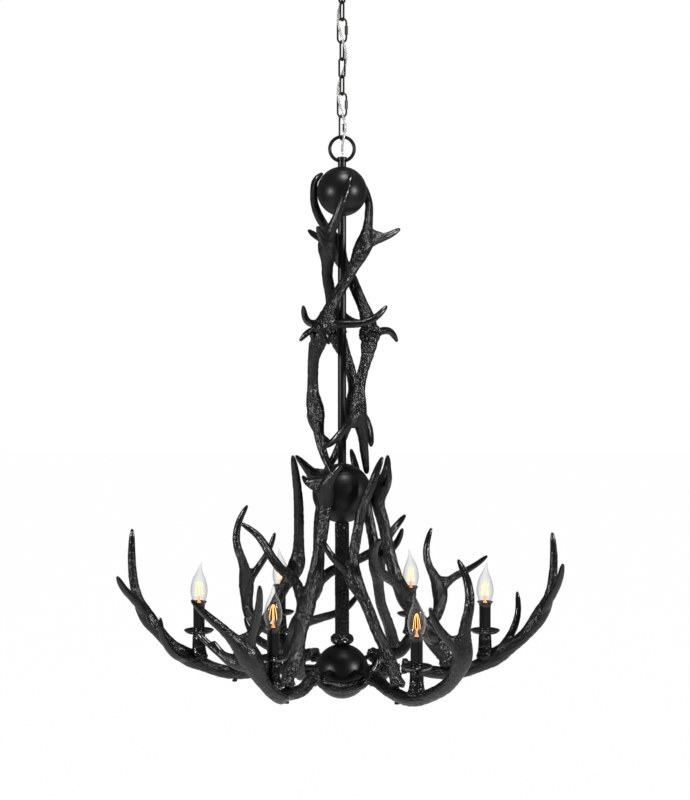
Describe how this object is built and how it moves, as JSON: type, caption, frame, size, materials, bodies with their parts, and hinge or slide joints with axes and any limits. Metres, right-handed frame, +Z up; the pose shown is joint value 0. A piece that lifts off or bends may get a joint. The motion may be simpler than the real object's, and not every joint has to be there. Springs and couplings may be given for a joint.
{
  "type": "antler chandelier",
  "caption": "Black antler chandelier with candle lamps on six arms, ball nodes on a centre rod, link chain and ceiling canopy.",
  "frame": {"origin": "centre of the mounting strap's upper face, on the ceiling", "axes": "+Z up, away from the room; the light hangs towards -Z; -Y faces the viewer of the picture, +X to the right"},
  "size_m": [0.8789, 0.8099, 1.5208],
  "materials": {
    "antler_resin": "satin",
    "black_metal": "satin",
    "chain_metal": "satin",
    "steel": "satin",
    "socket_plastic": "matte",
    "clear_pvc": "gloss",
    "bulb_glass": "gloss"
  },
  "bodies": {
    "ceiling": {"ceiling_strap": "steel", "threaded_nipple": "steel", "strap_lock_nut": "steel", "ceiling_canopy": "black_metal", "canopy_collar": "black_metal", "canopy_loop": "black_metal", "power_cord": "clear_pvc"},
    "chain_link_1": {"chain_link_1": "chain_metal"},
    "chain_link_2": {"chain_link_2": "chain_metal"},
    "chain_link_3": {"chain_link_3": "chain_metal"},
    "quick_link_1": {"quick_link_1": "chain_metal"},
    "chain_link_4": {"chain_link_4": "chain_metal"},
    "chain_link_5": {"chain_link_5": "chain_metal"},
    "chain_link_6": {"chain_link_6": "chain_metal"},
    "quick_link_2": {"quick_link_2": "chain_metal"},
    "quick_link_3": {"quick_link_3": "chain_metal"},
    "chandelier": {"hanging_ring": "black_metal", "upper_ball": "black_metal", "middle_ball": "black_metal", "lower_ball": "black_metal", "centre_rod": "black_metal", "wiring_hub": "steel", "end_nut": "steel", "lower_stem": "antler_resin", "antler_screws": "steel", "burr_pins": "steel", "drip_pans": "black_metal", "candle_tubes": "black_metal", "lamp_sockets": "socket_plastic", "candle_pedestals": "antler_resin", "arm_antler_1": "antler_resin", "arm_antler_2": "antler_resin", "arm_antler_3": "antler_resin", "arm_antler_4": "antler_resin", "arm_antler_5": "antler_resin", "arm_antler_6": "antler_resin", "upper_antler_1": "antler_resin", "middle_antler_1": "antler_resin", "inner_upright_1": "antler_resin", "front_upright_1": "antler_resin", "swirl_antler_1": "antler_resin", "upper_antler_2": "antler_resin", "middle_antler_2": "antler_resin", "inner_upright_2": "antler_resin", "front_upright_2": "antler_resin", "swirl_antler_2": "antler_resin", "upper_antler_3": "antler_resin", "middle_antler_3": "antler_resin", "inner_upright_3": "antler_resin", "front_upright_3": "antler_resin", "swirl_antler_3": "antler_resin"},
    "quick_link_nut_1": {"quick_link_nut_1": "chain_metal"},
    "quick_link_nut_2": {"quick_link_nut_2": "chain_metal"},
    "quick_link_nut_3": {"quick_link_nut_3": "chain_metal"},
    "bulb_1": {"bulb_1": "bulb_glass"},
    "bulb_2": {"bulb_2": "bulb_glass"},
    "bulb_3": {"bulb_3": "bulb_glass"},
    "bulb_4": {"bulb_4": "bulb_glass"},
    "bulb_5": {"bulb_5": "bulb_glass"},
    "bulb_6": {"bulb_6": "bulb_glass"}
  },
  "joints": [
    {"name": "chain_link_1_swing", "type": "hinge", "parent": "ceiling", "child": "chain_link_1", "pos_m": [0, 0, -0.0623], "axis": [1, 0, 0], "range_deg": [-14, 14], "deforming": ["power_cord"]},
    {"name": "chain_link_2_swing", "type": "hinge", "parent": "chain_link_1", "child": "chain_link_2", "pos_m": [0, 0, -0.0965], "axis": [0.5, 0.866, 0], "range_deg": [-14, 14], "deforming": ["power_cord"]},
    {"name": "chain_link_3_swing", "type": "hinge", "parent": "chain_link_2", "child": "chain_link_3", "pos_m": [0, 0, -0.1312], "axis": [0.866, -0.5, 0], "range_deg": [-14, 14], "deforming": ["power_cord"]},
    {"name": "quick_link_1_swing", "type": "hinge", "parent": "chain_link_3", "child": "quick_link_1", "pos_m": [0, 0, -0.1659], "axis": [0.5, 0.866, 0], "range_deg": [-14, 14], "deforming": ["power_cord"]},
    {"name": "chain_link_4_swing", "type": "hinge", "parent": "quick_link_1", "child": "chain_link_4", "pos_m": [0, 0, -0.2106], "axis": [0.866, -0.5, 0], "range_deg": [-14, 14], "deforming": ["power_cord"]},
    {"name": "chain_link_5_swing", "type": "hinge", "parent": "chain_link_4", "child": "chain_link_5", "pos_m": [0, 0, -0.2453], "axis": [0.5, 0.866, 0], "range_deg": [-14, 14], "deforming": ["power_cord"]},
    {"name": "chain_link_6_swing", "type": "hinge", "parent": "chain_link_5", "child": "chain_link_6", "pos_m": [0, 0, -0.28], "axis": [0.866, -0.5, 0], "range_deg": [-14, 14], "deforming": ["power_cord"]},
    {"name": "quick_link_2_swing", "type": "hinge", "parent": "chain_link_6", "child": "quick_link_2", "pos_m": [0, 0, -0.3147], "axis": [0.5, 0.866, 0], "range_deg": [-14, 14], "deforming": ["power_cord"]},
    {"name": "quick_link_3_swing", "type": "hinge", "parent": "quick_link_2", "child": "quick_link_3", "pos_m": [0, 0, -0.3594], "axis": [0.866, -0.5, 0], "range_deg": [-14, 14], "deforming": ["power_cord"]},
    {"name": "chandelier_swing", "type": "hinge", "parent": "quick_link_3", "child": "chandelier", "pos_m": [0, 0, -0.4041], "axis": [0.5, 0.866, 0], "range_deg": [-6, 6], "deforming": ["power_cord"]},
    {"name": "quick_link_nut_1_travel", "type": "slide", "parent": "quick_link_1", "child": "quick_link_nut_1", "axis": [0, 0, 1], "range_m": [0, 0.006]},
    {"name": "quick_link_nut_2_travel", "type": "slide", "parent": "quick_link_2", "child": "quick_link_nut_2", "axis": [0, 0, 1], "range_m": [0, 0.006]},
    {"name": "quick_link_nut_3_travel", "type": "slide", "parent": "quick_link_3", "child": "quick_link_nut_3", "axis": [0, 0, 1], "range_m": [0, 0.006]},
    {"name": "bulb_1_remove", "type": "slide", "parent": "chandelier", "child": "bulb_1", "axis": [0, 0, 1], "range_m": [0, 0.06]},
    {"name": "bulb_2_remove", "type": "slide", "parent": "chandelier", "child": "bulb_2", "axis": [0, 0, 1], "range_m": [0, 0.06]},
    {"name": "bulb_3_remove", "type": "slide", "parent": "chandelier", "child": "bulb_3", "axis": [0, 0, 1], "range_m": [0, 0.06]},
    {"name": "bulb_4_remove", "type": "slide", "parent": "chandelier", "child": "bulb_4", "axis": [0, 0, 1], "range_m": [0, 0.06]},
    {"name": "bulb_5_remove", "type": "slide", "parent": "chandelier", "child": "bulb_5", "axis": [0, 0, 1], "range_m": [0, 0.06]},
    {"name": "bulb_6_remove", "type": "slide", "parent": "chandelier", "child": "bulb_6", "axis": [0, 0, 1], "range_m": [0, 0.06]}
  ]
}
